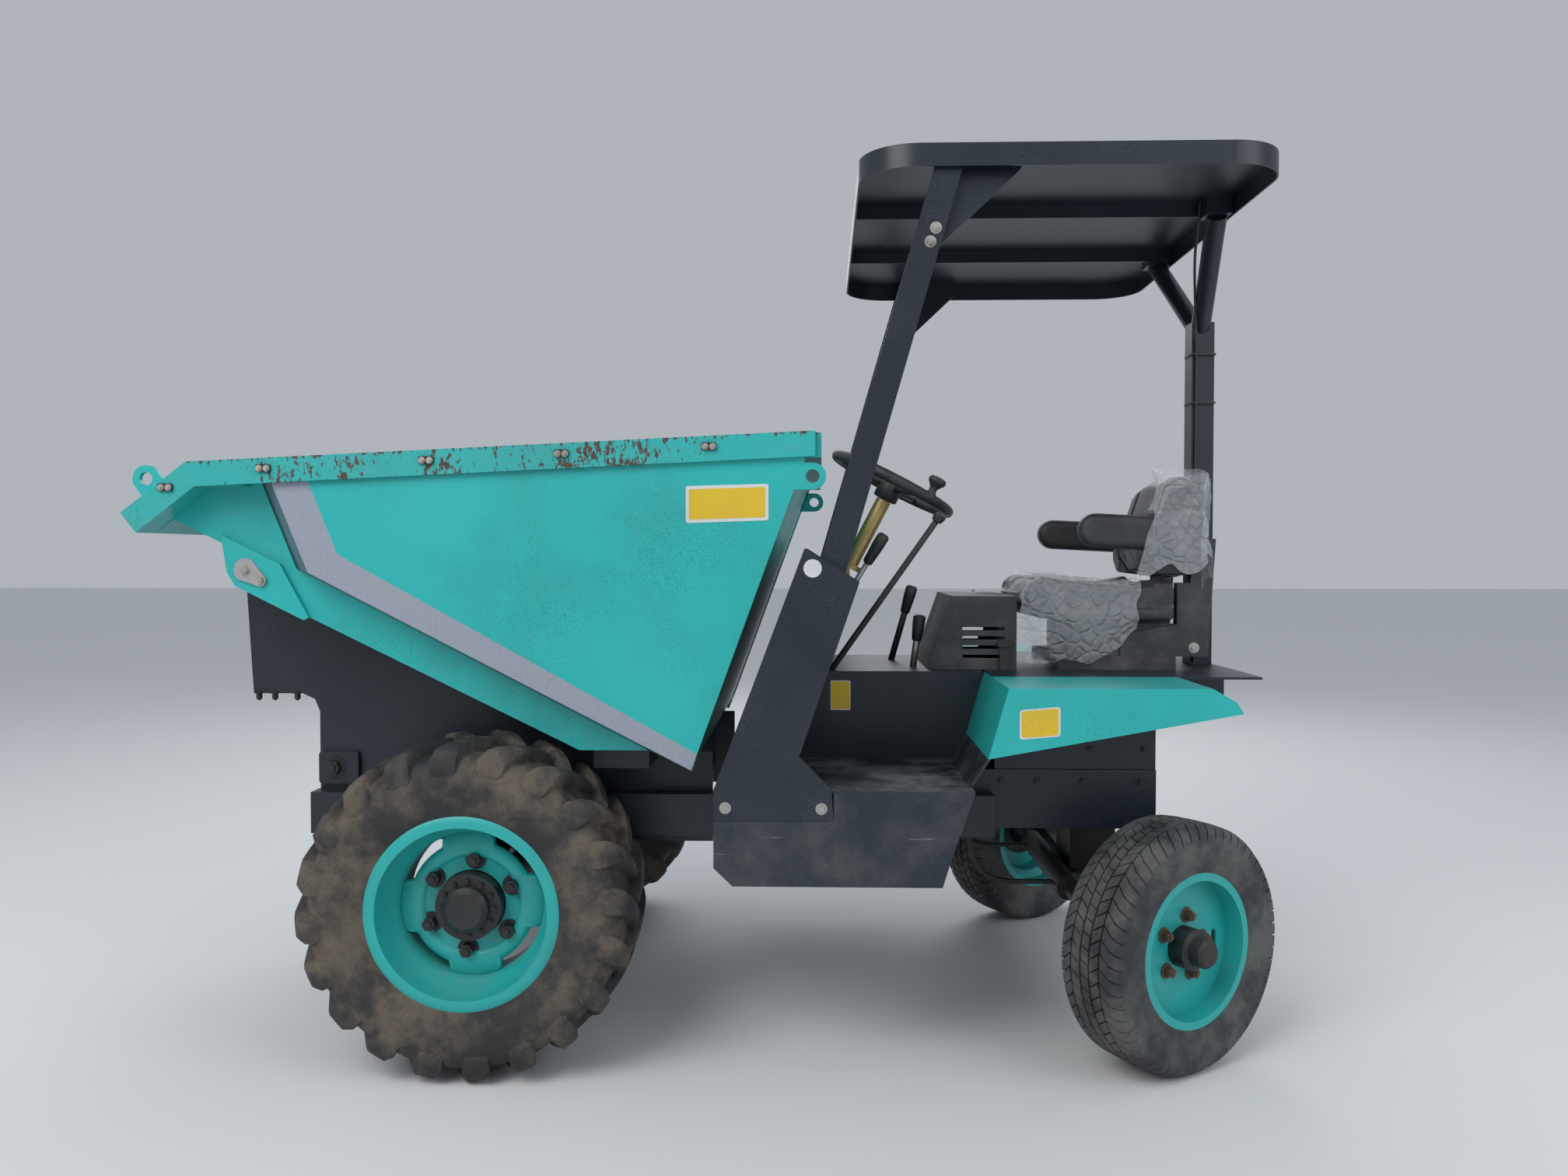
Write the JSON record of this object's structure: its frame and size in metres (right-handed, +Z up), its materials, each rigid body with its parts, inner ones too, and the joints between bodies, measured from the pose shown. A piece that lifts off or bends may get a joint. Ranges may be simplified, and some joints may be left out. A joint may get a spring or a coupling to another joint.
{
  "type": "site dumper",
  "caption": "Four-wheeled site dumper with a front-tipping hydraulic skip, large driven front tyres, steered rear wheels, a seat behind a dash and a canopy on posts.",
  "frame": {"origin": "on the ground, under the middle of the bounding box", "axes": "-X points the way the machine tips and drives forward, +X to its rear, +Y to its right-hand side, +Z up"},
  "size_m": [2.637, 1.567, 2.053],
  "materials": {
    "teal_paint": "satin, scratched",
    "skip_floor_worn": "worn and dusty",
    "dark_paint": "satin, dusty",
    "cast_iron": "painted, oily",
    "tyre_front": "muddy",
    "tyre_rear": "dusty",
    "steel": "greasy",
    "black_plastic": "matte",
    "seat_vinyl": "vinyl",
    "red_paint": "chipped",
    "zinc": "yellow passivated"
  },
  "bodies": {
    "chassis": {"frame_plates": "dark_paint", "rails": "dark_paint", "pins": "steel", "front_axle": "cast_iron", "engine": "cast_iron", "rear_axle": "dark_paint", "steering_ram": "black_plastic", "dash": "dark_paint", "pedestals": "dark_paint", "tunnel": "dark_paint", "steps": "dark_paint", "hood": "dark_paint", "rear_body": "dark_paint", "rear_deck": "dark_paint", "fenders": "teal_paint", "tow_handle": "red_paint", "seat_base": "black_plastic", "seat_cushion": "seat_vinyl", "seat_backrest": "seat_vinyl", "armrests": "seat_vinyl", "canopy_roof": "dark_paint", "canopy_posts": "dark_paint", "rear_post": "dark_paint", "steering_column": "zinc", "levers": "black_plastic", "pedals": "black_plastic"},
    "skip": {"skip_sides": "teal_paint", "skip_floor": "skip_floor_worn", "skip_back": "teal_paint", "skip_rim": "teal_paint", "skip_beams": "teal_paint", "skip_fittings": "teal_paint"},
    "tip_barrel": {"ram_barrel": "dark_paint"},
    "tip_rod": {"ram_rod": "steel"},
    "steer_rod": {"tie_rod": "steel"},
    "hand_wheel": {"steering_wheel": "black_plastic"},
    "front_wheel_left": {"front_tyre_left": "tyre_front", "front_rim_left": "teal_paint", "front_hub_left": "cast_iron"},
    "steer_knuckle_left": {"knuckle_left": "cast_iron"},
    "rear_wheel_left": {"rear_tyre_left": "tyre_rear", "rear_rim_left": "teal_paint", "rear_hub_left": "cast_iron"},
    "front_wheel_right": {"front_tyre_right": "tyre_front", "front_rim_right": "teal_paint", "front_hub_right": "cast_iron"},
    "steer_knuckle_right": {"knuckle_right": "cast_iron"},
    "rear_wheel_right": {"rear_tyre_right": "tyre_rear", "rear_rim_right": "teal_paint", "rear_hub_right": "cast_iron"}
  },
  "joints": [
    {"name": "skip_tip", "type": "hinge", "parent": "chassis", "child": "skip", "pos_m": [-1.0665, 0, 1.127], "axis": [0, -1, 0], "range_deg": [0, 70]},
    {"name": "tip_barrel_swing", "type": "hinge", "parent": "chassis", "child": "tip_barrel", "pos_m": [-0.8635, 0, 0.512], "axis": [0, -1, 0], "range_deg": [-0.2, 5.26]},
    {"name": "tip_rod_slide", "type": "slide", "parent": "tip_barrel", "child": "tip_rod", "axis": [0.1213, 0, 0.9926], "range_m": [-0.001, 0.3408]},
    {"name": "front_left_spin", "type": "hinge", "parent": "chassis", "child": "front_wheel_left", "pos_m": [-0.5335, -0.61, 0.378], "axis": [0, 1, 0], "continuous": true},
    {"name": "front_right_spin", "type": "hinge", "parent": "chassis", "child": "front_wheel_right", "pos_m": [-0.5335, 0.61, 0.378], "axis": [0, 1, 0], "continuous": true},
    {"name": "steer_left", "type": "hinge", "parent": "chassis", "child": "steer_knuckle_left", "pos_m": [0.9805, -0.472, 0.281], "axis": [0, 0, 1], "range_deg": [-68, 0]},
    {"name": "steer_right", "type": "hinge", "parent": "chassis", "child": "steer_knuckle_right", "pos_m": [0.9805, 0.472, 0.281], "axis": [0, 0, 1], "range_deg": [-68.2, 0.2]},
    {"name": "steer_rod_slide", "type": "slide", "parent": "chassis", "child": "steer_rod", "axis": [0, 1, 0], "range_m": [-0.0005, 0.13471]},
    {"name": "rear_left_spin", "type": "hinge", "parent": "steer_knuckle_left", "child": "rear_wheel_left", "pos_m": [1.0476, -0.57148, 0.281], "axis": [-0.5592, 0.829, 0], "continuous": true},
    {"name": "rear_right_spin", "type": "hinge", "parent": "steer_knuckle_right", "child": "rear_wheel_right", "pos_m": [0.9134, 0.57148, 0.281], "axis": [-0.5592, 0.829, 0], "continuous": true},
    {"name": "hand_wheel_turn", "type": "hinge", "parent": "chassis", "child": "hand_wheel", "pos_m": [0.4245, 0, 1.312], "axis": [0.4619, 0, 0.8869], "continuous": true}
  ],
  "couplings": [
    {"joint": "tip_barrel_swing", "follows": "skip_tip", "ratio": 0.072344},
    {"joint": "tip_rod_slide", "follows": "skip_tip", "m_per_rad": 0.27815},
    {"joint": "steer_right", "follows": "steer_left", "ratio": 1},
    {"joint": "steer_rod_slide", "follows": "steer_left", "m_per_rad": -0.11308}
  ]
}
